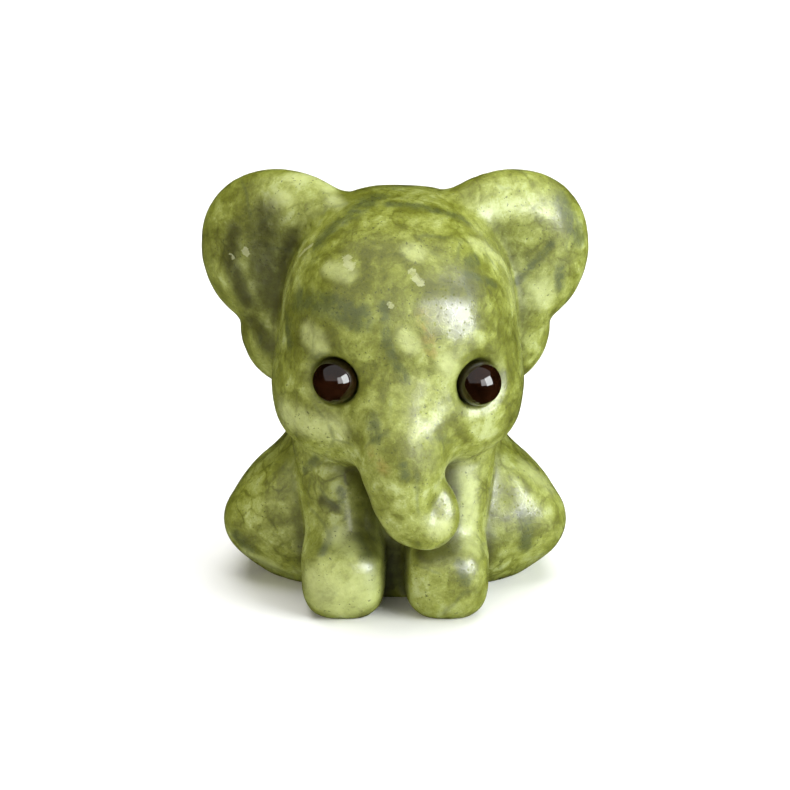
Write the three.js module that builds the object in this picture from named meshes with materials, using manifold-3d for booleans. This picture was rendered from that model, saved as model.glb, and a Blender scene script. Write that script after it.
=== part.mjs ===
// Seated baby elephant carved from one piece of green stone, with a dark bead set in each drilled socket.
// Millimetres, +Z up. The figure faces -Y, its left side is +X, and the origin is on the ground, in the
// middle of its box.
import * as THREE from 'three';
import { mergeVertices } from 'three/addons/utils/BufferGeometryUtils.js';
import Module from 'manifold-3d';

const wasm = await Module();
wasm.setup();

const at = (x, y, z) => new THREE.Vector3(x, y, z);

const evenly = (value) => at(value, value, value);

// Driving dimensions. A lump has a centre, half sizes along X, Y and Z, and a squareness along each: 2 makes
// it an ellipsoid, and more than 2 squares its sides. It may roll about Y. A limb tapers from one ball to
// another. Paired forms are given for the left side, and the right side mirrors them. A BLEND is the width
// over which two forms run together.
const CRANIUM = { centre: at(0.5, 1.2, 36.2), half: at(15.7, 19.0, 17.6), squareness: at(2.6, 2.5, 2.0) };
const CHEEKS = { centre: at(0.3, -4.3, 27.9), half: at(15.9, 11.6, 7.7), squareness: evenly(2.5) };
const CHEEK_BLEND = 6.0;

const EAR_PLACE = at(14.5, 6.4, 44.1);
const EAR_SWEEP_DEG = 22;
const EAR_PAD = { centre: at(0, 0, 0), half: at(12.3, 4.8, 11.5), squareness: evenly(2.1) };
const EAR_LOBE = { centre: at(-0.5, 0.8, -11.2), half: at(7.6, 3.8, 7.9), squareness: evenly(2) };
const EAR_LOBE_BLEND = 1.2;
const EAR_SCOOP = { centre: at(-2.0, -9.0, -1.5), half: at(10.0, 6.1, 9.2), squareness: evenly(2) };
const EAR_SCOOP_BLEND = 3.0;
const EAR_ROOT_BLEND = 2.2;

const TRUNK_SPINE = [
  { place: at(0.6, -9.9, 29.7), radius: 6.7 },
  { place: at(0.8, -14.3, 27.4), radius: 6.5 },
  { place: at(0.9, -16.5, 23.6), radius: 5.7 },
  { place: at(0.9, -17.1, 20.0), radius: 4.5 },
  { place: at(1.2, -17.3, 17.2), radius: 3.7 },
  { place: at(2.1, -17.4, 15.2), radius: 3.1 },
];
const TRUNK_CURL = [
  { place: at(2.1, -17.4, 15.2), radius: 3.1 },
  { place: at(4.2, -17.4, 13.9), radius: 2.8 },
  { place: at(5.7, -17.0, 14.9), radius: 2.6 },
  { place: at(5.8, -16.6, 17.2), radius: 2.2 },
  { place: at(4.9, -16.0, 19.8), radius: 1.5 },
];
const TRUNK_STEPS_PER_POINT = 3;
const TRUNK_STEP_BLEND = 0.4;
const TRUNK_CURL_BLEND = 1.4;
const TRUNK_ROOT_BLEND = 3.0;

const TORSO = { centre: at(0, 6.4, 16.5), half: at(14.0, 15.5, 17.5), squareness: evenly(2.2) };
const NAPE = { centre: at(0, 7.9, 30.0), half: at(10.0, 7.5, 9.0), squareness: evenly(2) };
const NAPE_BLEND = 5.0;
const CHEST = { centre: at(0, 0.9, 7.0), half: at(8.5, 9.0, 16.0), squareness: evenly(3) };
const CHEST_BLEND = 1.5;

const THIGH = { start: at(10.2, 5.9, 8.0), end: at(17.9, 1.9, 7.7), startRadius: 10.0, endRadius: 5.2 };
const SEAT = { centre: at(9.0, 6.4, 7.0), half: at(12.8, 13.0, 9.5), squareness: evenly(2) };
const SEAT_BLEND = 3.0;
const KNEE = { centre: at(11.2, 1.5, 8.6), half: at(9.4, 6.5, 7.5), squareness: evenly(2.5), rollDeg: 42 };
const KNEE_BLEND = 2.0;
const HAUNCH_BLEND = 4.0;

const FORELEG = { start: at(8.0, -3.8, 22.0), end: at(6.8, -9.1, 8.0), startRadius: 5.8, endRadius: 4.8 };
const FOREFOOT = { centre: at(6.85, -11.2, 5.0), half: at(5.6, 6.1, 5.6), squareness: evenly(2.8) };
const ANKLE_BLEND = 2.0;
const SHOULDER_BLEND = 1.0;

// The stone left standing behind the trunk, which joins it to the chest.
const WEB = { start: at(0.8, -11.1, 24.0), end: at(2.6, -13.1, 15.0), startRadius: 4.2, endRadius: 2.0 };
const WEB_BLEND = 1.5;

const TAIL = { start: at(0, 20.5, 15.5), end: at(1.6, 20.0, 7.0), startRadius: 1.9, endRadius: 1.4 };
const TAIL_TUFT = { centre: at(2.0, 19.6, 4.9), half: at(2.1, 2.1, 2.9), squareness: evenly(2) };
const TAIL_TUFT_BLEND = 0.8;
const TAIL_BLEND = 0.7;

const JAW_BLEND = 1.0;

const BEAD_RADIUS = 3.0;
const BEAD_CLEARANCE = 0.3;
const RIGHT_EYE = at(-7.8, -15.6, 33.8);
const LEFT_EYE = at(10.9, -14.5, 33.1);

// Stone worked to below the ground line and then cut off flat at Z = 0.
const GROUND_STOCK = 3.0;
const CARVING_LOW = at(-29.5, -25.2, -5.4);
const CARVING_HIGH = at(29, 25, 59);
const FACET = 1.85;
const SETTLING_STEPS = 2;
const SETTLING_SHARE = 0.7;
const SLOPE_STEP = 0.02;
const LEAST_SLOPE_SQUARED = 0.25;
const CLEFT_FILL = 0.05;
const JUST_OVER_ZERO = 1e-9;
const BEAD_SIDES = 20;
const BEAD_RINGS = 14;

// Smooth union of two distances.
function blend(first, second, width) {
  const overlap = Math.max(width - Math.abs(first - second), 0) / width;
  return Math.min(first, second) - overlap * overlap * width / 4;
}

// Smooth cut of one distance out of another.
function hollow(solid, tool, width) {
  return -blend(-solid, tool, width);
}

function mirrored(point) {
  return at(Math.abs(point.x), point.y, point.z);
}

const ROLL_AXIS = at(0, 1, 0);

// Distance from a point to a lump, exact at its surface.
function lump(point, { centre, half, squareness, rollDeg = 0 }) {
  const offset = point.clone().sub(centre).applyAxisAngle(ROLL_AXIS, THREE.MathUtils.degToRad(rollDeg));
  const share = offset.divide(half).toArray().map((value) => Math.abs(value) + JUST_OVER_ZERO);
  const power = squareness.toArray();
  const meanPower = (power[0] + power[1] + power[2]) / 3;
  const total = share.reduce((sum, value, axis) => sum + value ** power[axis], 0);
  const level = total ** (1 / meanPower);
  const slope = share.map((value, axis) => {
    const rate = power[axis] * value ** (power[axis] - 1) / half.getComponent(axis);
    return rate * level / (meanPower * total);
  });
  return (level - 1) / Math.hypot(...slope);
}

// Distance from a point to a limb that tapers from a ball at its start to a ball at its end.
function limb(point, { start, end, startRadius, endRadius }) {
  const axis = end.clone().sub(start);
  const length = axis.length();
  const offset = point.clone().sub(start);
  const height = offset.dot(axis) / length;
  const aside = Math.sqrt(Math.max(offset.lengthSq() - height * height, 0));
  const taper = (startRadius - endRadius) / length;
  const lean = taper / Math.sqrt(1 - taper * taper);
  const along = THREE.MathUtils.clamp(height - aside * lean, 0, length);
  return Math.hypot(aside, height - along) - (startRadius - taper * along);
}

// The tapered limbs that follow one another along a smooth curve through the given balls.
function limbsAlong(balls) {
  const spine = new THREE.CatmullRomCurve3(balls.map((ball) => ball.place), false, 'catmullrom');
  const girth = new THREE.CatmullRomCurve3(balls.map((ball) => at(ball.radius, 0, 0)), false, 'catmullrom');
  const steps = (balls.length - 1) * TRUNK_STEPS_PER_POINT;
  const limbs = [];
  for (let step = 0; step < steps; step += 1) {
    limbs.push({
      start: spine.getPoint(step / steps),
      end: spine.getPoint((step + 1) / steps),
      startRadius: girth.getPoint(step / steps).x,
      endRadius: girth.getPoint((step + 1) / steps).x,
    });
  }
  return limbs;
}

const trunkLimbs = limbsAlong(TRUNK_SPINE);
const curlLimbs = limbsAlong(TRUNK_CURL);

function chain(point, limbs) {
  const distances = limbs.map((piece) => limb(point, piece));
  return distances.reduce((whole, next) => blend(whole, next, TRUNK_STEP_BLEND));
}

function trunk(point) {
  return blend(chain(point, trunkLimbs), chain(point, curlLimbs), TRUNK_CURL_BLEND);
}

function head(point) {
  return blend(lump(point, CRANIUM), lump(point, CHEEKS), CHEEK_BLEND);
}

const UPRIGHT = at(0, 0, 1);
const EAR_UNSWEEP = -THREE.MathUtils.degToRad(EAR_SWEEP_DEG);

function ear(point) {
  const local = point.clone().sub(EAR_PLACE).applyAxisAngle(UPRIGHT, EAR_UNSWEEP);
  const leaf = blend(lump(local, EAR_PAD), lump(local, EAR_LOBE), EAR_LOBE_BLEND);
  return hollow(leaf, lump(local, EAR_SCOOP), EAR_SCOOP_BLEND);
}

function foreleg(point) {
  return blend(limb(point, FORELEG), lump(point, FOREFOOT), ANKLE_BLEND);
}

function haunch(point) {
  const thigh = blend(limb(point, THIGH), lump(point, SEAT), SEAT_BLEND);
  return blend(thigh, lump(point, KNEE), KNEE_BLEND);
}

function tail(point) {
  return blend(limb(point, TAIL), lump(point, TAIL_TUFT), TAIL_TUFT_BLEND);
}

function body(point) {
  const paired = mirrored(point);
  let shape = blend(lump(point, TORSO), lump(point, NAPE), NAPE_BLEND);
  shape = blend(shape, haunch(paired), HAUNCH_BLEND);
  shape = blend(shape, tail(point), TAIL_BLEND);
  shape = blend(shape, lump(point, CHEST), CHEST_BLEND);
  shape = blend(shape, limb(point, WEB), WEB_BLEND);
  return blend(shape, foreleg(paired), SHOULDER_BLEND);
}

// Signed distance to the whole figure, before the eyes are drilled and the underside is cut.
function figure(point) {
  const earedHead = blend(head(point), ear(mirrored(point)), EAR_ROOT_BLEND);
  const wholeHead = blend(earedHead, trunk(point), TRUNK_ROOT_BLEND);
  return Math.max(blend(wholeHead, body(point), JAW_BLEND), -GROUND_STOCK - point.z);
}

// The direction in which a distance grows fastest, with its rate.
function slopeOf(shape, point) {
  const rates = ['x', 'y', 'z'].map((axis) => {
    const ahead = point.clone();
    const behind = point.clone();
    ahead[axis] += SLOPE_STEP;
    behind[axis] -= SLOPE_STEP;
    return (shape(ahead) - shape(behind)) / (2 * SLOPE_STEP);
  });
  return at(...rates);
}

// Moves a point most of the way onto the surface along the slope, so that points by a crease stay apart.
function settle(shape, point) {
  for (let step = 0; step < SETTLING_STEPS; step += 1) {
    const slope = slopeOf(shape, point);
    const steepness = Math.max(slope.lengthSq(), LEAST_SLOPE_SQUARED);
    point.addScaledVector(slope, -SETTLING_SHARE * shape(point) / steepness);
  }
  return point;
}

// The two axes beside a given one, in turning order.
function otherAxes(axis) {
  return [(axis + 1) % 3, (axis + 2) % 3];
}

// Fills the clefts that are narrower than a facet, where the surface would touch itself: a square of grid
// nodes with two opposite nodes in the stone and the other two outside it.
function fillClefts(values, nodes, limits, strides) {
  let filled = true;
  while (filled) {
    filled = false;
    nodes.forEach((node, index) => {
      for (let axis = 0; axis < 3; axis += 1) {
        const [across, up] = otherAxes(axis);
        if (node[across] >= limits[across] - 1 || node[up] >= limits[up] - 1) continue;
        const steps = [0, strides[across], strides[across] + strides[up], strides[up]];
        const square = steps.map((step) => index + step);
        const [a, b, c, d] = square.map((corner) => values[corner] < 0);
        if (a !== c || b !== d || a === b) continue;
        const open = square.filter((corner) => values[corner] >= 0);
        const nearest = values[open[0]] < values[open[1]] ? open[0] : open[1];
        values[nearest] = -CLEFT_FILL;
        filled = true;
      }
    });
  }
}

// Facets the surface of a shape inside a box: one corner in each grid cell that the surface crosses,
// and two triangles across each grid edge that it crosses.
function carve(shape, low, high, cell) {
  const count = high.clone().sub(low).divideScalar(cell).ceil().addScalar(1);
  const strides = [1, count.x, count.x * count.y];
  const place = (i, j, k) => at(i, j, k).multiplyScalar(cell).add(low);
  const nodes = [];
  for (let k = 0; k < count.z; k += 1) {
    for (let j = 0; j < count.y; j += 1) {
      for (let i = 0; i < count.x; i += 1) nodes.push([i, j, k]);
    }
  }
  const values = nodes.map((node) => shape(place(...node)));
  const limits = count.toArray();
  fillClefts(values, nodes, limits, strides);

  const positions = [];
  const cornerOfCell = new Map();
  nodes.forEach((node, index) => {
    if (node.some((value, axis) => value >= limits[axis] - 1)) return;
    const crossing = at(0, 0, 0);
    let crossings = 0;
    for (let axis = 0; axis < 3; axis += 1) {
      const [across, up] = otherAxes(axis);
      for (const [a, b] of [[0, 0], [1, 0], [0, 1], [1, 1]]) {
        const startIndex = index + a * strides[across] + b * strides[up];
        const [first, second] = [values[startIndex], values[startIndex + strides[axis]]];
        if (first < 0 === second < 0) continue;
        const spot = [...node];
        spot[across] += a;
        spot[up] += b;
        spot[axis] += first / (first - second);
        crossing.add(place(...spot));
        crossings += 1;
      }
    }
    if (crossings === 0) return;
    cornerOfCell.set(index, positions.length / 3);
    positions.push(...settle(shape, crossing.divideScalar(crossings)).toArray());
  });

  const triangles = [];
  nodes.forEach((node, index) => {
    for (let axis = 0; axis < 3; axis += 1) {
      const [across, up] = otherAxes(axis);
      if (node[axis] >= limits[axis] - 1 || node[across] === 0 || node[up] === 0) continue;
      const [first, second] = [values[index], values[index + strides[axis]]];
      if (first < 0 === second < 0) continue;
      const ring = [0, strides[across], strides[across] + strides[up], strides[up]];
      const [a, b, c, d] = ring.map((back) => cornerOfCell.get(index - back));
      triangles.push(...(first < 0 ? [a, b, c, a, c, d] : [a, c, b, a, d, c]));
    }
  });

  const geometry = new THREE.BufferGeometry();
  geometry.setAttribute('position', new THREE.Float32BufferAttribute(positions, 3));
  geometry.setIndex(triangles);
  return geometry;
}

function solidOf(geometry) {
  const bare = geometry.clone();
  bare.deleteAttribute('normal');
  bare.deleteAttribute('uv');
  const merged = mergeVertices(bare);
  const mesh = new wasm.Mesh({
    numProp: 3,
    vertProperties: new Float32Array(merged.attributes.position.array),
    triVerts: new Uint32Array(merged.index.array),
  });
  return new wasm.Manifold(mesh);
}

function geometryOf(solid) {
  const mesh = solid.getMesh();
  const geometry = new THREE.BufferGeometry();
  geometry.setAttribute('position', new THREE.BufferAttribute(mesh.vertProperties, 3));
  geometry.setIndex(new THREE.BufferAttribute(mesh.triVerts, 1));
  geometry.computeVertexNormals();
  return geometry;
}

function ballAt(place, radius) {
  return new THREE.SphereGeometry(radius, BEAD_SIDES, BEAD_RINGS).translate(place.x, place.y, place.z);
}

function groundBlock() {
  const size = CARVING_HIGH.clone().sub(CARVING_LOW);
  return new THREE.BoxGeometry(size.x, size.y, size.z).translate(0, 0, -size.z / 2);
}

function carvedElephant() {
  let stone = solidOf(carve(figure, CARVING_LOW, CARVING_HIGH, FACET));
  stone = stone.subtract(solidOf(groundBlock()));
  for (const eye of [RIGHT_EYE, LEFT_EYE]) {
    stone = stone.subtract(solidOf(ballAt(eye, BEAD_RADIUS + BEAD_CLEARANCE)));
  }
  return geometryOf(stone);
}

function named(name, geometry, material) {
  const mesh = new THREE.Mesh(geometry, material);
  mesh.name = name;
  return mesh;
}

const jade = () => new THREE.MeshStandardMaterial({ color: 0x8c9a3c, roughness: 0.25, metalness: 0 });
const darkGlass = () => new THREE.MeshStandardMaterial({ color: 0x1c0d0a, roughness: 0.08, metalness: 0 });

const elephant = new THREE.Group();
elephant.add(named('elephant_carving', carvedElephant(), jade()));
for (const [name, place] of [['right_eye_bead', RIGHT_EYE], ['left_eye_bead', LEFT_EYE]]) {
  const bead = named(name, ballAt(at(0, 0, 0), BEAD_RADIUS), darkGlass());
  bead.position.copy(place);
  elephant.add(bead);
}

export default elephant;
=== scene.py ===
import math

import bpy
import numpy as np
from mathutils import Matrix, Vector


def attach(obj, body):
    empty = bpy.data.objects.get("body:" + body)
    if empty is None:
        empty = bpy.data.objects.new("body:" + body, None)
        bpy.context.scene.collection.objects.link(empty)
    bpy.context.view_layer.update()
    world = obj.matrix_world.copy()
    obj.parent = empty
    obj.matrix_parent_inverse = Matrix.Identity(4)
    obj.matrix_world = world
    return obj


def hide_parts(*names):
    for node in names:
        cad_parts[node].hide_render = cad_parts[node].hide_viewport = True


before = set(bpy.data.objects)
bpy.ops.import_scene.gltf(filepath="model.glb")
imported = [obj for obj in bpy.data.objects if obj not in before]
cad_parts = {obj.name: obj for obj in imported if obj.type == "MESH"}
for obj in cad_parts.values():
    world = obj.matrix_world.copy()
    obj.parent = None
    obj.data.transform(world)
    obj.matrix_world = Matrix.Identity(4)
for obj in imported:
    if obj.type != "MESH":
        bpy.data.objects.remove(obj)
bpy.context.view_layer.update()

MM = 0.001

# Forms of the carving in millimetres, as in the CAD. A lump has a centre, half sizes and a squareness: 2
# makes it an ellipsoid, and more than 2 squares its sides. A limb tapers from one ball to another. Paired
# forms are given for the left side, and the right side mirrors them. A BLEND is the width over which two
# forms run together. The ears' blend grows from EAR_SIDE_BLEND to EAR_ROOT_BLEND over EAR_BLEND_HEIGHTS.
CRANIUM = {"centre": (0.5, 1.2, 36.2), "half": (15.7, 19.0, 17.6), "squareness": (2.6, 2.5, 2.0)}
CHEEKS = {"centre": (0.3, -4.3, 27.9), "half": (15.9, 11.6, 7.7), "squareness": 2.5}
CHEEK_BLEND = 6.0

EAR_PLACE = (14.5, 6.4, 44.1)
EAR_SWEEP_DEG = 22
EAR_PAD = {"centre": (0, 0, 0), "half": (12.3, 4.8, 11.5), "squareness": 2.1}
EAR_LOBE = {"centre": (-0.5, 0.8, -11.2), "half": (7.6, 3.8, 7.9), "squareness": 2}
EAR_LOBE_BLEND = 1.2
EAR_SCOOP = {"centre": (-2.0, -9.0, -1.5), "half": (10.0, 6.1, 9.2), "squareness": 2}
EAR_SCOOP_BLEND = 3.0
EAR_ROOT_BLEND = 2.4
EAR_SIDE_BLEND = 0.9
EAR_BLEND_HEIGHTS = (46.0, 52.0)

# Each ball of the trunk: its place and its radius.
TRUNK_SPINE = [
    ((0.6, -9.9, 29.7), 6.7),
    ((0.8, -14.3, 27.4), 6.5),
    ((0.9, -16.5, 23.6), 5.7),
    ((0.9, -17.1, 20.0), 4.5),
    ((1.2, -17.3, 17.2), 3.7),
    ((2.1, -17.4, 15.2), 3.1),
]
TRUNK_CURL = [
    ((2.1, -17.4, 15.2), 3.1),
    ((4.2, -17.4, 13.9), 2.8),
    ((5.7, -17.0, 14.9), 2.6),
    ((5.8, -16.6, 17.2), 2.2),
    ((4.9, -16.0, 19.8), 1.5),
]
TRUNK_STEPS_PER_POINT = 4
TRUNK_STEP_BLEND = 0.4
TRUNK_CURL_BLEND = 1.4
TRUNK_ROOT_BLEND = 3.0

TORSO = {"centre": (0, 6.4, 16.5), "half": (14.0, 15.5, 17.5), "squareness": 2.2}
NAPE = {"centre": (0, 7.9, 30.0), "half": (10.0, 7.5, 9.0), "squareness": 2}
NAPE_BLEND = 5.0
CHEST = {"centre": (0, 0.9, 7.0), "half": (8.5, 9.0, 16.0), "squareness": 3}
CHEST_BLEND = 1.5

THIGH = {"start": (10.2, 5.9, 8.0), "end": (17.9, 1.9, 7.7), "radii": (10.0, 5.2)}
SEAT = {"centre": (9.0, 6.4, 7.0), "half": (12.8, 13.0, 9.5), "squareness": 2}
SEAT_BLEND = 3.0
KNEE = {"centre": (11.2, 1.5, 8.6), "half": (9.4, 6.5, 7.5), "squareness": 2.5, "roll_deg": 42}
KNEE_BLEND = 2.0
HAUNCH_BLEND = 4.0

FORELEG = {"start": (8.0, -3.8, 22.0), "end": (6.8, -9.1, 8.0), "radii": (5.8, 4.8)}
FOREFOOT = {"centre": (6.85, -11.2, 5.0), "half": (5.6, 6.1, 5.6), "squareness": 2.8}
ANKLE_BLEND = 2.0
SHOULDER_BLEND = 1.0

WEB = {"start": (0.8, -11.1, 24.0), "end": (2.6, -13.1, 15.0), "radii": (4.2, 2.0)}
WEB_BLEND = 1.5

TAIL = {"start": (0, 20.5, 15.5), "end": (1.6, 20.0, 7.0), "radii": (1.9, 1.4)}
TAIL_TUFT = {"centre": (2.0, 19.6, 4.9), "half": (2.1, 2.1, 2.9), "squareness": 2}
TAIL_TUFT_BLEND = 0.8
TAIL_BLEND = 0.7

JAW_BLEND = 1.0

BEAD_RADIUS = 3.0
SOCKET_RADIUS = 3.15
SOCKET_RIM_BLEND = 0.9
EYE_DISH_DEPTH = 0.4
EYE_DISH_RADII = (3.5, 5.2)
RIGHT_EYE = (-7.8, -15.6, 33.8)
LEFT_EYE = (10.9, -14.5, 33.1)

# The fine mesh: the box that it is worked in, the grid's cells, and how the corners settle on the surface.
CARVING_LOW = (-28.0, -24.8, -1.6)
CARVING_CELLS = (140, 124, 148)
CELL = 0.4
BLOCK = 4
BLOCK_REACH = 3.2
CLEFT_FILL = 0.01
SETTLING_STEPS = 2
SLOPE_STEP = 0.01
LEAST_SLOPE_SQUARED = 0.25
JUST_OVER_ZERO = 1e-9
POINTS_AT_ONCE = 100000

# How far out from the surface the stone is looked for, and the shares of nearby stone where the shade painted
# into creases starts and ends.
CREASE_SHADE_REACHES = (1.0, 2.0, 3.5, 5.5)
CREASE_SHADE_RANGE = (0.1, 0.65)

# The camera of the photograph, which looks down at the figure.
PHOTO_SIDE = 790
CAMERA_TILT_DEG = 20
CAMERA_PLACE = (0.0, -566.26, 232.26)
CAMERA_LENS = 205.06
CAMERA_SENSOR = 36.0

# How a pixel is traced to the carving: the number of steps, and the share of the free distance in each.
TRACE_STEPS = 80
TRACE_SHARE = 0.9

# Where a mark of the stone starts to fade and where it ends, in shares of its half width.
MARK_FADE = (0.2, 2.2)

# The hand-worked surface, in millimetres. The density is the most dimples in a square metre before spacing.
POLISH_WAVE_SIZE = 4.5
POLISH_WAVE_HEIGHT = 0.22
DIMPLE_SPACING = 1.6
DIMPLE_DENSITY = 200000.0
DIMPLE_RADIUS = 0.9
DIMPLE_DEPTH = 0.05
UNDERSIDE_FADE = 0.8
POLISH_SEED = 7

BEAD_SEGMENTS = 72
BEAD_RINGS = 36

# The half side of the floor in metres, and the brightness of the light from all around.
FLOOR_HALF = 1.5
BACKDROP_STRENGTH = 0.2

# The colours of the lights, and the height in millimetres that they are aimed at.
WHITE = (1.0, 1.0, 1.0)
WARM = (1.0, 0.945, 0.74)
COOL = (0.96, 1.0, 1.0)
LIT_HEIGHT = 28.0


def blend(first, second, width):
    """Smooth union of two distances."""
    overlap = np.maximum(width - np.abs(first - second), 0.0) / width
    return np.minimum(first, second) - overlap * overlap * width / 4


def smooth_step(values, low, high):
    """0 below a low value, 1 above a high one, and smooth between them."""
    share = np.clip((values - low) / (high - low), 0.0, 1.0)
    return share * share * (3 - 2 * share)


def hollow(solid, tool, width):
    """Smooth cut of one distance out of another."""
    return -blend(-solid, tool, width)


def mirrored(points):
    """The points with those of the right side moved over to the left."""
    return np.column_stack([np.abs(points[:, 0]), points[:, 1], points[:, 2]])


def unturned(offset, form):
    """Offsets from a lump's centre along its own axes, which may roll about Y."""
    roll = math.radians(form.get("roll_deg", 0))
    x, y, z = offset.T
    across = x * math.cos(roll) + z * math.sin(roll)
    up = z * math.cos(roll) - x * math.sin(roll)
    return np.column_stack([across, y, up])


def lump(points, form):
    """Distances from points to a lump, exact at its surface."""
    half = np.array(form["half"], dtype=float)
    power = np.broadcast_to(form["squareness"], 3)
    offset = unturned(points - np.array(form["centre"]), form)
    share = np.abs(offset / half) + JUST_OVER_ZERO
    total = (share ** power).sum(axis=1)
    level = total ** (1 / power.mean())
    slope = power / power.mean() * share ** (power - 1) / half * (level / total)[:, None]
    return (level - 1) / np.linalg.norm(slope, axis=1)


def limb(points, form):
    """Distances from points to a limb that tapers from a ball at its start to a ball at its end."""
    start = np.array(form["start"], dtype=float)
    axis = np.array(form["end"]) - start
    length = np.linalg.norm(axis)
    first, last = form["radii"]
    offset = points - start
    height = offset @ axis / length
    aside = np.sqrt(np.maximum((offset * offset).sum(axis=1) - height * height, 0.0))
    taper = (first - last) / length
    lean = taper / math.sqrt(1 - taper * taper)
    along = np.clip(height - aside * lean, 0.0, length)
    return np.hypot(aside, height - along) - (first - taper * along)


def on_curve(values, share):
    """A value on the smooth curve through a list of values, at a share of the way along the list."""
    last = len(values) - 1
    spot = min(int(share * last), last - 1)
    rest = share * last - spot
    near, far = values[spot], values[spot + 1]
    before = values[spot - 1] if spot > 0 else 2 * near - far
    after = values[spot + 2] if spot + 2 <= last else 2 * far - near
    leave = (far - before) / 2
    arrive = (after - near) / 2
    cubic = 2 * near - 2 * far + leave + arrive
    square = -3 * near + 3 * far - 2 * leave - arrive
    return ((cubic * rest + square) * rest + leave) * rest + near


def limbs_along(balls):
    """The tapered limbs that follow one another along a smooth curve through the given balls."""
    places = [np.array(place) for place, radius in balls]
    radii = [radius for place, radius in balls]
    steps = (len(balls) - 1) * TRUNK_STEPS_PER_POINT
    spine = [on_curve(places, step / steps) for step in range(steps + 1)]
    girth = [on_curve(radii, step / steps) for step in range(steps + 1)]
    return [
        {"start": spine[step], "end": spine[step + 1], "radii": (girth[step], girth[step + 1])}
        for step in range(steps)
    ]


TRUNK_LIMBS = limbs_along(TRUNK_SPINE)
CURL_LIMBS = limbs_along(TRUNK_CURL)


def chain(points, limbs):
    """Distances from points to limbs that follow one another."""
    whole = limb(points, limbs[0])
    for piece in limbs[1:]:
        whole = blend(whole, limb(points, piece), TRUNK_STEP_BLEND)
    return whole


def trunk(points):
    return blend(chain(points, TRUNK_LIMBS), chain(points, CURL_LIMBS), TRUNK_CURL_BLEND)


def head(points):
    return blend(lump(points, CRANIUM), lump(points, CHEEKS), CHEEK_BLEND)


def ear(points):
    """Distances from points to the left ear: a leaf swept back from the head, hollowed at the front."""
    turn = math.radians(EAR_SWEEP_DEG)
    offset = points - np.array(EAR_PLACE)
    local = np.column_stack([
        offset[:, 0] * math.cos(turn) + offset[:, 1] * math.sin(turn),
        offset[:, 1] * math.cos(turn) - offset[:, 0] * math.sin(turn),
        offset[:, 2],
    ])
    leaf = blend(lump(local, EAR_PAD), lump(local, EAR_LOBE), EAR_LOBE_BLEND)
    return hollow(leaf, lump(local, EAR_SCOOP), EAR_SCOOP_BLEND)


def body(points):
    """Distances from points to all below the head."""
    paired = mirrored(points)
    haunch = blend(limb(paired, THIGH), lump(paired, SEAT), SEAT_BLEND)
    haunch = blend(haunch, lump(paired, KNEE), KNEE_BLEND)
    tail = blend(limb(points, TAIL), lump(points, TAIL_TUFT), TAIL_TUFT_BLEND)
    foreleg = blend(limb(paired, FORELEG), lump(paired, FOREFOOT), ANKLE_BLEND)
    shape = blend(lump(points, TORSO), lump(points, NAPE), NAPE_BLEND)
    shape = blend(shape, haunch, HAUNCH_BLEND)
    shape = blend(shape, tail, TAIL_BLEND)
    shape = blend(shape, lump(points, CHEST), CHEST_BLEND)
    shape = blend(shape, limb(points, WEB), WEB_BLEND)
    return blend(shape, foreleg, SHOULDER_BLEND)


def figure(points):
    """Distances from points to the carving: the whole figure, with drilled eyes and a flat underside."""
    crown = smooth_step(points[:, 2], *EAR_BLEND_HEIGHTS)
    ear_blend = EAR_SIDE_BLEND + (EAR_ROOT_BLEND - EAR_SIDE_BLEND) * crown
    eared_head = blend(head(points), ear(mirrored(points)), ear_blend)
    whole_head = blend(eared_head, trunk(points), TRUNK_ROOT_BLEND)
    shape = blend(whole_head, body(points), JAW_BLEND)
    for eye in (RIGHT_EYE, LEFT_EYE):
        away = np.linalg.norm(points - np.array(eye), axis=1)
        shape = shape + EYE_DISH_DEPTH * (1 - smooth_step(away, *EYE_DISH_RADII))
        shape = hollow(shape, away - SOCKET_RADIUS, SOCKET_RIM_BLEND)
    return np.maximum(shape, -points[:, 2])


def distances(points):
    """Distances to the carving for any number of points, worked out a share at a time."""
    shares = range(0, len(points), POINTS_AT_ONCE)
    return np.concatenate([figure(points[first:first + POINTS_AT_ONCE]) for first in shares])


def grid_points(index, step):
    return np.array(CARVING_LOW) + np.column_stack(index) * step


def grid_distances():
    """Distances at the grid's nodes: exact near the surface, and those of the nearest block elsewhere."""
    counts = np.array(CARVING_CELLS) + 1
    blocks = counts // BLOCK + 2
    index = np.indices(blocks).reshape(3, -1)
    coarse = distances(grid_points(index, CELL * BLOCK)).reshape(blocks)
    values = coarse
    for axis in range(3):
        values = np.repeat(values, BLOCK, axis=axis)
    half = BLOCK // 2
    values = values[half:half + counts[0], half:half + counts[1], half:half + counts[2]].copy()
    near = np.nonzero(np.abs(values) < BLOCK_REACH)
    values[near] = distances(grid_points(near, CELL))
    return values


def shifted(values, steps):
    """The part of a grid that is so many nodes on along each axis, from nodes to cells."""
    parts = tuple(slice(step, size - 1 + step) for step, size in zip(steps, values.shape))
    return values[parts]


def fill_clefts(values):
    """Fills the clefts narrower than a cell: a square of nodes with only two opposite ones in the stone."""
    filled = True
    while filled:
        filled = False
        for axis in range(3):
            across, up = (axis + 1) % 3, (axis + 2) % 3
            corners = []
            for steps in ((0, 0), (1, 0), (1, 1), (0, 1)):
                parts = [slice(None)] * 3
                parts[across] = slice(steps[0], values.shape[across] - 1 + steps[0])
                parts[up] = slice(steps[1], values.shape[up] - 1 + steps[1])
                corners.append(values[tuple(parts)])
            stone = [corner < 0 for corner in corners]
            touching = (stone[0] == stone[2]) & (stone[1] == stone[3]) & (stone[0] != stone[1])
            if not touching.any():
                continue
            filled = True
            for first in (0, 1):
                one, other = corners[first], corners[first + 2]
                open_pair = touching & ~stone[first]
                one_nearer = open_pair & (one < other)
                other_nearer = open_pair & ~one_nearer
                one[one_nearer] = -CLEFT_FILL
                other[other_nearer] = -CLEFT_FILL


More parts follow.
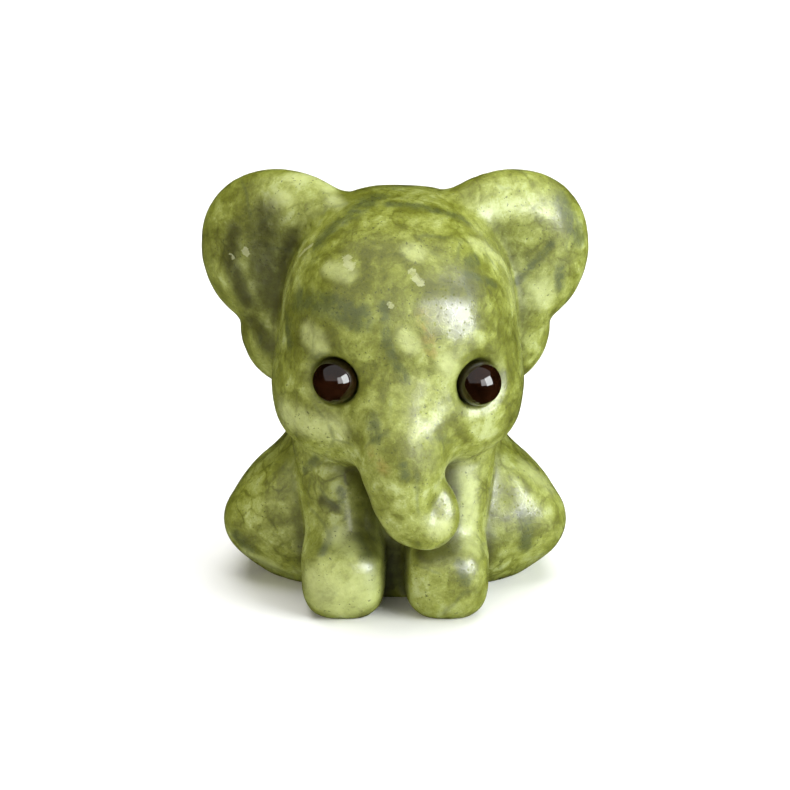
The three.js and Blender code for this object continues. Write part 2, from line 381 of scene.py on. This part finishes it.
def settle(points):
    """Moves points onto the surface along the slope of the distances."""
    for step in range(SETTLING_STEPS):
        here = distances(points)
        slope = np.empty_like(points)
        for axis in range(3):
            ahead = points.copy()
            ahead[:, axis] += SLOPE_STEP
            slope[:, axis] = (distances(ahead) - here) / SLOPE_STEP
        steepness = np.maximum((slope * slope).sum(axis=1), LEAST_SLOPE_SQUARED)
        points = points - slope * (here / steepness)[:, None]
    return points


def carve():
    """Corners and faces of the carved surface: a corner in each cell that it crosses, and a face across
    each grid edge that it crosses."""
    values = grid_distances()
    fill_clefts(values)
    stone = values < 0
    corners = [(i, j, k) for i in (0, 1) for j in (0, 1) for k in (0, 1)]
    filled = sum(shifted(stone, corner).astype(int) for corner in corners)
    crossed = np.nonzero((filled > 0) & (filled < len(corners)))
    total = np.zeros((len(crossed[0]), 3))
    crossings = np.zeros(len(crossed[0]))
    for corner in corners:
        for axis in range(3):
            if corner[axis]:
                continue
            far_corner = np.array(corner)
            far_corner[axis] = 1
            near_value = shifted(values, corner)[crossed]
            far_value = shifted(values, far_corner)[crossed]
            cut = (near_value < 0) != (far_value < 0)
            share = np.where(cut, near_value / np.where(cut, near_value - far_value, 1.0), 0.0)
            spot = np.repeat([corner], len(share), axis=0).astype(float)
            spot[:, axis] += share
            total += spot * cut[:, None]
            crossings += cut
    inside_cell = total / crossings[:, None]
    points = settle(np.array(CARVING_LOW) + (np.column_stack(crossed) + inside_cell) * CELL)

    number = np.full(filled.shape, -1)
    number[crossed] = np.arange(len(points))
    faces = []
    for axis in range(3):
        across, up = (axis + 1) % 3, (axis + 2) % 3
        ahead = [0, 0, 0]
        ahead[axis] = 1
        low, high = shifted(stone, (0, 0, 0)), shifted(stone, ahead)
        edge = np.column_stack(np.nonzero(low != high))
        around = []
        for back in ((0, 0), (1, 0), (1, 1), (0, 1)):
            cell = edge.copy()
            cell[:, across] -= back[0]
            cell[:, up] -= back[1]
            around.append(number[tuple(cell.T)])
        ring = np.column_stack(around)
        leaving = low[tuple(edge.T)]
        faces.append(np.where(leaving[:, None], ring, ring[:, ::-1]))
    return points, np.concatenate(faces)


class Wire:
    """One socket of a node tree. Operators on wires add Math nodes."""

    def __init__(self, tree, socket=None):
        self.tree = tree
        self.socket = socket

    def node(self, kind, settings, sockets, output=0):
        """Adds a node of a kind, sets its settings, then the values or links of its sockets, and gives a
        wire from one of its outputs."""
        made = self.tree.nodes.new(kind)
        for name, value in settings.items():
            if name == "stops":
                set_stops(made.color_ramp, value)
            else:
                setattr(made, name, value)
        for name, value in sockets.items():
            if isinstance(value, Wire):
                self.tree.links.new(value.socket, made.inputs[name])
            else:
                made.inputs[name].default_value = value
        return Wire(self.tree, made.outputs[output] if made.outputs else None)

    def math(self, operation, first, second):
        return self.node("ShaderNodeMath", {"operation": operation}, {0: first, 1: second})

    def __add__(self, other):
        return self.math("ADD", self, other)

    def __radd__(self, other):
        return self.math("ADD", other, self)

    def __sub__(self, other):
        return self.math("SUBTRACT", self, other)

    def __rsub__(self, other):
        return self.math("SUBTRACT", other, self)

    def __mul__(self, other):
        return self.math("MULTIPLY", self, other)

    def __rmul__(self, other):
        return self.math("MULTIPLY", other, self)

    def __truediv__(self, other):
        return self.math("DIVIDE", self, other)

    def __rtruediv__(self, other):
        return self.math("DIVIDE", other, self)

    def top(self, other):
        return self.math("MAXIMUM", self, other)

    def between(self, low, high):
        """0 below a low value, 1 above a high one, and smooth between them."""
        return self.node(
            "ShaderNodeMapRange",
            {"interpolation_type": "SMOOTHSTEP"},
            {"Value": self, "From Min": low, "From Max": high},
        )

    def scaled(self, factor):
        return self.node("ShaderNodeVectorMath", {"operation": "SCALE"}, {"Vector": self, "Scale": factor})

    def plus(self, other):
        return self.node("ShaderNodeVectorMath", {"operation": "ADD"}, {0: self, 1: other})

    def along(self, axis):
        """How far this place is along X, Y or Z."""
        return self.node("ShaderNodeSeparateXYZ", {}, {"Vector": self}, axis)

    def coloured(self, colour, share):
        """This colour with a share of another."""
        settings = {"data_type": "RGBA", "blend_type": "MIX"}
        return self.node("ShaderNodeMix", settings, {0: share, 6: self, 7: colour}, output=2)

    def ramp(self, stops):
        return self.node("ShaderNodeValToRGB", {"stops": stops}, {"Fac": self})

    def noise(self, size, detail=2.0, roughness=0.5, distortion=0.0, output=0):
        """Noise whose lumps are about a size across, in the units of this place."""
        sockets = {
            "Vector": self,
            "Scale": 1 / size,
            "Detail": detail,
            "Roughness": roughness,
            "Distortion": distortion,
        }
        return self.node("ShaderNodeTexNoise", {"noise_dimensions": "3D"}, sockets, output)

    def wandering(self, size, reach, detail=2.0):
        """This place, moved aside by up to about half a reach by noise of a size."""
        centred = self.noise(size, detail, output="Color").plus((-0.5, -0.5, -0.5))
        return self.plus(centred.scaled(reach))

    def cells(self, size, feature, output="Distance", **sockets):
        values = {"Vector": self, "Scale": 1 / size}
        values.update(sockets)
        return self.node("ShaderNodeTexVoronoi", {"feature": feature}, values, output)

    def attribute(self, name):
        return self.node("ShaderNodeAttribute", {"attribute_name": name}, {}, "Fac")


def set_stops(color_ramp, stops):
    """Sets the places and colours of a ramp."""
    elements = color_ramp.elements
    while len(elements) < len(stops):
        elements.new(1.0)
    for element, (place, colour) in zip(elements, stops):
        element.position = place
        element.color = colour


def tone(red, green, blue):
    """A colour from its 0 to 255 screen values, as linear light."""
    linear = []
    for value in (red, green, blue):
        share = value / 255
        linear.append(share / 12.92 if share <= 0.04045 else ((share + 0.055) / 1.055) ** 2.4)
    return (*linear, 1.0)


# The stone's tones from its darkest mottling to its palest, the tones of its marks, and those of the beads.
MOTTLE_TONES = [
    (0.0, tone(76, 79, 8)),
    (0.3, tone(103, 108, 26)),
    (0.5, tone(123, 130, 44)),
    (0.7, tone(144, 152, 70)),
    (1.0, tone(174, 183, 122)),
]
SMOKE_TONE = tone(66, 75, 36)
# Pale patches of the stone, also used for painted light and sheen.
PALE_AND_PAINTED_LIGHT_TONE = tone(181, 189, 122)
# Dark olive, partly the stone's own colour and partly painted shade.
OLIVE_AND_PAINTED_SHADE_TONE = tone(54, 53, 0)
VEIN_TONE = tone(74, 82, 42)
RUST_TONE = tone(150, 124, 50)
# The dark olive of the shade painted into creases.
PAINTED_CREASE_SHADE_TONE = tone(58, 58, 4)
PEPPER_TONE = tone(52, 54, 20)
# Pale chips, also used for a painted highlight along a ridge.
CHIP_AND_PAINTED_GLINT_TONE = tone(190, 194, 150)
BEAD_TONES = [(0.35, tone(10, 4, 1)), (0.7, tone(30, 13, 5))]
FLOOR_TONES = [(0.0, (0.92, 0.92, 0.92, 1.0)), (1.0, (0.95, 0.95, 0.95, 1.0))]

# The size of the stone's cells, and where the stone changes over the figure, in millimetres: heights above
# the ground, distances forward of the middle, and distances behind it.
STONE_CELL = 2.7
FINE_HEAD_HEIGHTS = (22.0, 34.0)
FINE_TRUNK_FORWARD = (11.0, 15.0)
FOREHEAD_HEIGHTS = (32.0, 40.0)
FOREHEAD_FORWARD = (6.0, 13.0)
HIDDEN_BEHIND = (1.0, 9.0)


def new_tree(name, inputs):
    """A Geometry Nodes tree with named inputs, and a wire to start from."""
    tree = bpy.data.node_groups.new(name, "GeometryNodeTree")
    tree.interface.new_socket("Geometry", in_out="INPUT", socket_type="NodeSocketGeometry")
    for label, kind in inputs:
        tree.interface.new_socket(label, in_out="INPUT", socket_type=kind)
    tree.interface.new_socket("Geometry", in_out="OUTPUT", socket_type="NodeSocketGeometry")
    entry = tree.nodes.new("NodeGroupInput")
    given = {socket.name: Wire(tree, socket) for socket in entry.outputs if socket.name}
    return tree, Wire(tree), given


def end_tree(start, geometry, material):
    """Ends a tree: smooth shading, plain geometry, and the material."""
    smooth = start.node("GeometryNodeSetShadeSmooth", {}, {"Geometry": geometry, "Shade Smooth": True})
    plain = start.node("GeometryNodeRealizeInstances", {}, {"Geometry": smooth})
    finished = start.node("GeometryNodeSetMaterial", {}, {"Geometry": plain, "Material": material})
    start.node("NodeGroupOutput", {}, {"Geometry": finished})


def grown(name, mesh, tree, values):
    """A plain mesh object made from a mesh by a Geometry Nodes tree, whose inputs are given by name."""
    source = bpy.data.objects.new(name + "_source", mesh)
    bpy.context.scene.collection.objects.link(source)
    modifier = source.modifiers.new("looks", "NODES")
    modifier.node_group = tree
    for item in tree.interface.items_tree:
        if item.in_out == "INPUT" and item.name in values:
            modifier[item.identifier] = values[item.name]
    graph = bpy.context.evaluated_depsgraph_get()
    made = bpy.data.meshes.new_from_object(source.evaluated_get(graph))
    bpy.data.objects.remove(source)
    piece = bpy.data.objects.new(name, made)
    bpy.context.scene.collection.objects.link(piece)
    return piece


def polish_tree():
    """The hand-worked surface: shallow waves left by the polishing, and scattered shallow dimples, which
    fade out at the flat underside."""
    inputs = [
        ("Wave Size", "NodeSocketFloat"),
        ("Wave Height", "NodeSocketFloat"),
        ("Dimple Spacing", "NodeSocketFloat"),
        ("Dimple Density", "NodeSocketFloat"),
        ("Dimple Radius", "NodeSocketFloat"),
        ("Dimple Depth", "NodeSocketFloat"),
        ("Underside Fade", "NodeSocketFloat"),
        ("Seed", "NodeSocketInt"),
        ("Stone", "NodeSocketMaterial"),
    ]
    tree, start, given = new_tree("hand_polish", inputs)
    place = start.node("GeometryNodeInputPosition", {}, {})
    normal = start.node("GeometryNodeInputNormal", {}, {})
    sockets = {"Vector": place, "Scale": 1.0 / given["Wave Size"], "Detail": 2.0, "Roughness": 0.5}
    lumps = start.node("ShaderNodeTexNoise", {"noise_dimensions": "3D"}, sockets)
    wave = (lumps - 0.5) * given["Wave Height"]
    sockets = {
        "Mesh": given["Geometry"],
        "Distance Min": given["Dimple Spacing"],
        "Density Max": given["Dimple Density"],
        "Seed": given["Seed"],
    }
    settings = {"distribute_method": "POISSON"}
    dots = start.node("GeometryNodeDistributePointsOnFaces", settings, sockets, "Points")
    away = start.node("GeometryNodeProximity", {"target_element": "POINTS"}, {0: dots}, "Distance")
    nearest = start.node("GeometryNodeSampleNearest", {"domain": "POINT"}, {"Geometry": dots})
    chance = start.node("FunctionNodeRandomValue", {"data_type": "FLOAT"}, {"Seed": given["Seed"]}, 1)
    sockets = {"Geometry": dots, "Value": chance, "Index": nearest}
    size = start.node("GeometryNodeSampleIndex", {"data_type": "FLOAT", "domain": "POINT"}, sockets)
    dimple = (1.0 - (away / (given["Dimple Radius"] * (0.4 + size))).between(0.0, 1.0)) * size
    fade = (place.along("Z") / given["Underside Fade"]).between(0.0, 1.0)
    shift = normal.scaled((wave - dimple * given["Dimple Depth"]) * fade)
    moved = start.node("GeometryNodeSetPosition", {}, {"Geometry": given["Geometry"], "Offset": shift})
    end_tree(start, moved, given["Stone"])
    return tree


def bead_tree():
    """A round glass bead at a place."""
    inputs = [
        ("Radius", "NodeSocketFloat"),
        ("Place", "NodeSocketVector"),
        ("Glass", "NodeSocketMaterial"),
    ]
    tree, start, given = new_tree("glass_bead", inputs)
    sockets = {"Segments": BEAD_SEGMENTS, "Rings": BEAD_RINGS, "Radius": given["Radius"]}
    ball = start.node("GeometryNodeMeshUVSphere", {}, sockets)
    placed = start.node("GeometryNodeTransform", {}, {"Geometry": ball, "Translation": given["Place"]})
    end_tree(start, placed, given["Glass"])
    return tree


def new_material(name):
    """An empty material and a wire to start its nodes from."""
    material = bpy.data.materials.new(name)
    material.use_nodes = True
    material.node_tree.nodes.clear()
    return material, Wire(material.node_tree)


def end_material(start, sockets):
    """Ends a material with one Principled surface."""
    surface = start.node("ShaderNodeBsdfPrincipled", {}, sockets)
    start.node("ShaderNodeOutputMaterial", {}, {"Surface": surface})


def olive_net(place, ragged):
    """A net of thin lines between cells of the stone, weaker on the head and nearly gone on the trunk."""
    fine_head = place.along("Z").between(*FINE_HEAD_HEIGHTS) * 0.5
    fine_trunk = (0.0 - place.along("Y")).between(*FINE_TRUNK_FORWARD) * 0.85
    strength = place.noise(size=5.0, detail=2.0).between(0.4, 0.64) * (1.0 - fine_head.top(fine_trunk))
    return (1.0 - ragged.cells(STONE_CELL, "DISTANCE_TO_EDGE").between(0.0, 0.1)) * strength


def mottled_colour(place, bent, ragged, mottle, fibrous, grain, net):
    """Soft yellow-green clouds and pale cells, a little darker on the forehead."""
    cloud = bent.noise(size=6.0, detail=2.0)
    cell_depth = ragged.cells(STONE_CELL, "SMOOTH_F1", Smoothness=0.3)
    cell_chance = ragged.cells(STONE_CELL, "F1", output="Color")
    forehead = place.along("Z").between(*FOREHEAD_HEIGHTS)
    forehead = forehead * (0.0 - place.along("Y")).between(*FOREHEAD_FORWARD)
    light = cloud * 0.8 + mottle * 0.8 + fibrous * 0.45 + grain * 0.25 - forehead * 0.14
    light = light + cell_chance * 0.1 - cell_depth * 0.16 - net * 0.2
    return light.between(0.6, 1.58).ramp(MOTTLE_TONES)


def smoky_bands(place, bent):
    """The smoky marks of the front, and bands that drift over the hidden sides."""
    hidden = place.along("Y").between(*HIDDEN_BEHIND)
    drifting = bent.plus((11.0, 4.0, 7.0)).noise(size=8.0, detail=4.0).between(0.54, 0.74) * hidden
    return place.attribute("smoke").top(drifting * 0.7)


def marked_colour(colour, place, bent, mottle, fibrous, smoke):
    """The stone's colour with its smoky bands, pale patches with some painted light, olive patches with some
    painted shade, veins, rust, and shade painted into the creases.
    """
    smoke_share = (smoke * (fibrous * 3.4 - 0.85)).between(0.08, 1.1)
    colour = colour.coloured(SMOKE_TONE, smoke_share * 0.75)
    # Pale patches of the stone, with painted light low on the left haunch and painted sheen on the right
    # haunch.
    pale = place.attribute("pale") * (mottle + fibrous - 0.1)
    colour = colour.coloured(PALE_AND_PAINTED_LIGHT_TONE, pale.between(0.0, 1.3) * 0.85)
    # Dark olive patches: partly the stone's own colour, partly painted shade in the left ear and in creases.
    olive = place.attribute("olive") * (0.3 + fibrous * 1.2)
    colour = colour.coloured(OLIVE_AND_PAINTED_SHADE_TONE, olive.between(0.0, 1.2) * 0.9)
    vein_edge = bent.cells(9.0, "DISTANCE_TO_EDGE")
    vein = (1.0 - vein_edge.between(0.0, 0.05)) * place.noise(size=7.0).between(0.5, 0.64)
    colour = colour.coloured(VEIN_TONE, vein * 0.4)
    rust = place.attribute("rust") * fibrous.between(0.4, 0.62)
    colour = colour.coloured(RUST_TONE, rust * 0.45)
    # Painted shade: creases are darkened towards a dark olive by how closely stone stands around them.
    return colour.coloured(PAINTED_CREASE_SHADE_TONE, place.attribute("shelter") * 0.75)


def speckled_colour(colour, place, smoke):
    """The stone's colour with dark specks, most of them in the smoky and peppered parts."""
    pepper = 1.0 - place.noise(size=0.4, detail=1.0).between(0.27, 0.34)
    peppered = smoke * 0.3 + place.attribute("pepper") + place.noise(size=3.0, detail=1.0)
    return colour.coloured(PEPPER_TONE, pepper * peppered.between(0.36, 0.62) * 0.65)


def jade_material():
    """Mottled stone with marks, specks and chips, with some painted light and shade, under a waxy polish
    broken by pits and fine threads.
    """
    material, start = new_material("polished_jade")
    place = start.node("ShaderNodeTexCoord", {}, {}, "Object").scaled(1 / MM)
    bent = place.wandering(size=6.0, reach=3.0)
    ragged = bent.wandering(size=1.3, reach=1.2, detail=3.0)
    mottle = bent.noise(size=2.0, detail=5.0, roughness=0.6, distortion=0.3)
    fibrous = ragged.noise(size=1.4, detail=6.0, roughness=0.72)
    grain = place.noise(size=0.3, detail=2.0, roughness=0.7)
    net = olive_net(place, ragged)
    smoke = smoky_bands(place, bent)

    colour = mottled_colour(place, bent, ragged, mottle, fibrous, grain, net)
    colour = marked_colour(colour, place, bent, mottle, fibrous, smoke)
    colour = speckled_colour(colour, place, smoke)
    angular = place.cells(0.7, "F1", output="Color")
    # Pale chips, with one painted highlight: a thin line along a ridge of the head.
    chip = (start.attribute("chip") + (angular - 0.5) * 0.5 + (grain - 0.5) * 0.6).between(0.45, 0.7)
    colour = colour.coloured(CHIP_AND_PAINTED_GLINT_TONE, chip * (0.25 + angular * 0.35))

    dull = start.attribute("dull")
    gloss = start.attribute("gloss")
    pit = place.cells(0.7, "F1").between(0.06, 0.3)
    thread_place = place.wandering(size=0.9, reach=0.9)
    thread = 1.0 - thread_place.cells(1.2, "DISTANCE_TO_EDGE").between(0.0, 0.09)
    height = grain * 0.45 + pit * 0.5 + mottle * 0.6 - net * 0.5 + thread * 0.3 - chip * 0.8
    bump = start.node("ShaderNodeBump", {}, {"Strength": 0.5, "Distance": 0.05 * MM, "Height": height})
    end_material(start, {
        "Base Color": colour,
        "Roughness": 0.36 + mottle * 0.2 + (1.0 - pit) * 0.3 + dull * 0.2 - gloss * 0.08,
        "IOR": 1.7,
        "Normal": bump,
        "Coat Weight": (0.15 + mottle * 0.7 + thread * 0.6 + gloss * 0.5) * pit * (1.0 - dull),
        "Coat Roughness": 0.2,
        "Subsurface Weight": 0.3,
        "Subsurface Radius": (1.0, 1.0, 0.35),
        "Subsurface Scale": 1.0 * MM,
    })
    return material


def bead_material():
    """Nearly black red-brown glass."""
    material, start = new_material("dark_bead_glass")
    place = start.node("ShaderNodeTexCoord", {}, {}, "Object").scaled(1 / MM)
    cloud = place.noise(size=2.5, detail=2.0)
    colour = cloud.ramp(BEAD_TONES)
    end_material(start, {
        "Base Color": colour,
        "Roughness": 0.04 + cloud * 0.03,
        "IOR": 1.65,
    })
    return material


def floor_material():
    """Nearly white, with no shine."""
    material, start = new_material("pale_floor")
    place = start.node("ShaderNodeTexCoord", {}, {}, "Object")
    shade = place.noise(size=0.4, detail=2.0)
    colour = shade.ramp(FLOOR_TONES)
    end_material(start, {"Base Color": colour, "Roughness": 0.9, "Specular IOR Level": 0.0})
    return material


def camera_axes():
    """The camera's right, up and forward directions."""
    tilt = math.radians(CAMERA_TILT_DEG)
    right = np.array([1.0, 0.0, 0.0])
    up = np.array([0.0, math.sin(tilt), math.cos(tilt)])
    forward = np.array([0.0, math.cos(tilt), -math.sin(tilt)])
    return right, up, forward


def seen_at(pixel):
    """The place on the carving, in millimetres, that shows at a pixel of the photograph."""
    right, up, forward = camera_axes()
    scale = CAMERA_SENSOR / CAMERA_LENS / PHOTO_SIDE
    across = (pixel[0] - PHOTO_SIDE / 2) * scale
    rise = (PHOTO_SIDE / 2 - pixel[1]) * scale
    ray = forward + across * right + rise * up
    ray = ray / np.linalg.norm(ray)
    place = np.array(CAMERA_PLACE)
    for step in range(TRACE_STEPS):
        place = place + ray * TRACE_SHARE * figure(place[None, :])[0]
    return place


# Marks of the stone, some of them painted light and shade, by pixels of the photograph: the points that a
# mark runs through, and its half width in millimetres. Dull and gloss are where the polish is weak and where
# it is strong.
MARKS = {
    "smoke": [
        ([(376, 197), (348, 218), (319, 241)], 1.4),
        ([(392, 204), (436, 210), (466, 221)], 0.9),
        ([(298, 299), (333, 308), (362, 318)], 1.5),
        ([(468, 274), (482, 280), (495, 284)], 0.5),
        ([(476, 258), (470, 262)], 0.8),
        ([(560, 200), (570, 218), (579, 238)], 1.2),
        ([(551, 245), (536, 262), (516, 282)], 0.55),
        ([(560, 268), (560, 288)], 0.7),
        ([(383, 306), (386, 330), (388, 345), (394, 362), (406, 380)], 0.6),
        ([(337, 316), (352, 322)], 1.0),
        ([(286, 314), (290, 345)], 0.8),
        ([(372, 420), (376, 438)], 0.9),
        ([(317, 458), (305, 470)], 0.5),
        ([(340, 490), (342, 500)], 0.5),
        ([(358, 540), (367, 560), (372, 585)], 0.9),
        ([(322, 553), (334, 530)], 0.6),
        ([(525, 516), (526, 546)], 1.0),
        ([(459, 564), (466, 580)], 0.8),
        ([(236, 536), (248, 548)], 1.0),
        ([(403, 466), (405, 478)], 0.6),
    ],
    # Pale patches of the stone; two of them are painted light, marked below.
    "pale": [
        ([(475, 244), (488, 250), (503, 263)], 1.0),
        ([(328, 268), (348, 274)], 1.0),
        ([(294, 178), (312, 176), (330, 188)], 1.0),
        ([(274, 204), (286, 198)], 1.0),
        ([(334, 200), (340, 206)], 0.9),
        ([(541, 290), (545, 300)], 1.3),
        ([(410, 250), (418, 254)], 1.0),
        ([(405, 336), (412, 346)], 1.0),
        ([(447, 362), (453, 372)], 1.1),
        ([(308, 334), (318, 344)], 1.4),
        ([(436, 532), (446, 528)], 1.0),
        ([(320, 586), (344, 600), (364, 590)], 3.0),
        ([(460, 466), (468, 492), (470, 530), (472, 545)], 1.4),
        ([(338, 538), (352, 548)], 1.3),
        # Painted light: lifts the shade near the ground low on the left haunch.
        ([(250, 556), (272, 566)], 1.2),
        # Painted sheen on the top of the right haunch.
        ([(526, 468), (546, 484)], 1.5),
        ([(284, 412), (310, 425), (336, 430)], 1.7),
    ],
    # Dark olive patches: partly the stone's own colour, partly painted shade where the left ear lies in the
    # head's shade, along the crease at its root, and under the trunk.
    "olive": [
        ([(266, 212), (262, 250), (270, 290)], 1.9),
        ([(292, 238), (285, 260), (280, 300)], 1.3),
        ([(234, 230), (230, 262), (246, 300)], 1.1),
        ([(252, 322), (268, 345)], 1.3),
        ([(322, 500), (336, 508)], 0.6),
    ],
    "rust": [
        ([(421, 316), (428, 336), (433, 354)], 0.7),
        ([(372, 452), (384, 470)], 0.6),
    ],
    "pepper": [
        ([(410, 270), (418, 284)], 0.7),
        ([(462, 296), (474, 318)], 1.6),
        ([(430, 410), (426, 426)], 1.0),
    ],
    "dull": [
        ([(500, 192), (522, 184), (546, 180)], 2.4),
        ([(426, 446), (430, 468)], 1.2),
        ([(426, 412), (434, 396), (436, 380)], 1.0),
        ([(414, 288), (440, 290), (462, 292)], 1.0),
        ([(462, 480), (466, 520)], 1.2),
        ([(504, 466), (508, 500)], 1.2),
    ],
    "gloss": [
        ([(436, 310), (458, 316), (482, 326)], 1.6),
    ],
    "chip": [
        # A painted highlight: a thin pale line along the ridge at the head's upper left corner; the other
        # chips are real.
        ([(312, 245), (305, 250), (299, 257)], 0.24),
        ([(347, 260), (351, 265)], 0.65),
        ([(412, 272), (420, 282)], 0.5),
        ([(245, 250), (246, 253)], 0.4),
        ([(231, 256), (233, 258)], 0.25),
        ([(389, 304), (392, 306)], 0.35),
        ([(338, 436), (340, 438)], 0.3),
    ],
}


def painted(points, marks):
    """How strongly each point is covered by marks: 1 in the middle of a mark and 0 away from them all."""
    cover = np.zeros(len(points))
    for pixels, half_width in marks:
        places = [seen_at(pixel) for pixel in pixels]
        for start, end in zip(places[:-1], places[1:]):
            axis = end - start
            along = np.clip((points - start) @ axis / (axis @ axis), 0.0, 1.0)
            away = np.linalg.norm(points - start - along[:, None] * axis, axis=1) / half_width
            cover = np.maximum(cover, 1 - smooth_step(away, *MARK_FADE))
    return cover


def crease_shade_depth(points, normals):
    """How deep in a crease each point lies, which sets the shade painted into creases: 0 in the open, and
    towards 1 where stone stands close by.
    """
    shelter = np.zeros(len(points))
    for reach in CREASE_SHADE_REACHES:
        free = distances(points + normals * reach) / reach
        shelter += np.clip(1 - free, 0.0, 1.0) / len(CREASE_SHADE_REACHES)
    return smooth_step(shelter, *CREASE_SHADE_RANGE)


def vectors_of(piece, name):
    """The places or normals of a piece's corners."""
    values = np.empty(len(piece.data.vertices) * 3)
    piece.data.vertices.foreach_get(name, values)
    return values.reshape(-1, 3)


def store(piece, name, values):
    """Stores a value for each corner of a piece."""
    layer = piece.data.attributes.new(name, "FLOAT", "POINT")
    layer.data.foreach_set("value", values)


jade = jade_material()
points, faces = carve()
carved_mesh = bpy.data.meshes.new("carved_surface")
carved_mesh.from_pydata((points * MM).tolist(), [], faces.tolist())
carving = grown("jade_elephant", carved_mesh, polish_tree(), {
    "Wave Size": POLISH_WAVE_SIZE * MM,
    "Wave Height": POLISH_WAVE_HEIGHT * MM,
    "Dimple Spacing": DIMPLE_SPACING * MM,
    "Dimple Density": DIMPLE_DENSITY,
    "Dimple Radius": DIMPLE_RADIUS * MM,
    "Dimple Depth": DIMPLE_DEPTH * MM,
    "Underside Fade": UNDERSIDE_FADE * MM,
    "Seed": POLISH_SEED,
    "Stone": jade,
})
surface = vectors_of(carving, "co") / MM
for name, marks in MARKS.items():
    store(carving, name, painted(surface, marks))
# The shade painted into creases, from how closely stone stands around each corner.
store(carving, "shelter", crease_shade_depth(surface, vectors_of(carving, "normal")))
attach(carving, "root")
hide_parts("elephant_carving")

glass = bead_material()
beads = bead_tree()
for side, place in (("right", RIGHT_EYE), ("left", LEFT_EYE)):
    empty_mesh = bpy.data.meshes.new("bead_start")
    bead = grown(side + "_bead", empty_mesh, beads, {
        "Radius": BEAD_RADIUS * MM,
        "Place": Vector(place) * MM,
        "Glass": glass,
    })
    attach(bead, "root")
    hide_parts(side + "_eye_bead")

floor_mesh = bpy.data.meshes.new("floor")
floor_corners = [(x * FLOOR_HALF, y * FLOOR_HALF, 0.0) for x, y in ((-1, -1), (1, -1), (1, 1), (-1, 1))]
floor_mesh.from_pydata(floor_corners, [], [(0, 1, 2, 3)])
floor_mesh.materials.append(floor_material())
floor = bpy.data.objects.new("floor", floor_mesh)
floor.visible_glossy = False
bpy.context.scene.collection.objects.link(floor)


def add_light(name, azimuth_deg, height_deg, distance, size, power, hue=WHITE, lights=True, reflected=True):
    """A soft light aimed at the figure: azimuth 0 is in front of it and 90 at the right of the picture. It
    may only light the stone, or only be reflected in the polish."""
    azimuth, height = math.radians(azimuth_deg), math.radians(height_deg)
    toward = Vector((
        math.sin(azimuth) * math.cos(height),
        -math.cos(azimuth) * math.cos(height),
        math.sin(height),
    ))
    lamp = bpy.data.lights.new(name, "AREA")
    lamp.shape = "RECTANGLE"
    lamp.size, lamp.size_y = size
    lamp.energy = power
    lamp.color = hue
    holder = bpy.data.objects.new(name, lamp)
    holder.location = Vector((0, 0, LIT_HEIGHT * MM)) + toward * distance
    holder.rotation_euler = toward.to_track_quat("Z", "Y").to_euler()
    holder.visible_diffuse = lights
    holder.visible_glossy = reflected
    bpy.context.scene.collection.objects.link(holder)


add_light("window", 57, 20, distance=0.45, size=(0.28, 0.3), power=2.75, hue=COOL)
add_light("window_side", 27, 20, distance=0.45, size=(0.2, 0.24), power=0.6, lights=False)
add_light("front", -36, 5, distance=0.9, size=(1.2, 0.8), power=7.0, hue=WARM, reflected=False)
add_light("overhead", 180, 74, distance=0.8, size=(0.9, 0.9), power=9.4, reflected=False)
add_light("sky", 0, 62, distance=0.9, size=(2.6, 1.7), power=7.8, lights=False)

scene = bpy.context.scene
scene.view_settings.view_transform = "Standard"
scene.world = bpy.data.worlds.new("studio")
scene.world.use_nodes = True
backdrop = scene.world.node_tree.nodes["Background"]
backdrop.inputs["Color"].default_value = (*WHITE, 1.0)
backdrop.inputs["Strength"].default_value = BACKDROP_STRENGTH
scene.world.cycles_visibility.glossy = False

lens = bpy.data.cameras.new("photo_camera")
lens.lens = CAMERA_LENS
lens.sensor_width = CAMERA_SENSOR
camera = bpy.data.objects.new("photo_camera", lens)
camera.location = Vector(CAMERA_PLACE) * MM
camera.rotation_euler = (math.radians(90 - CAMERA_TILT_DEG), 0.0, 0.0)
scene.collection.objects.link(camera)
scene.camera = camera
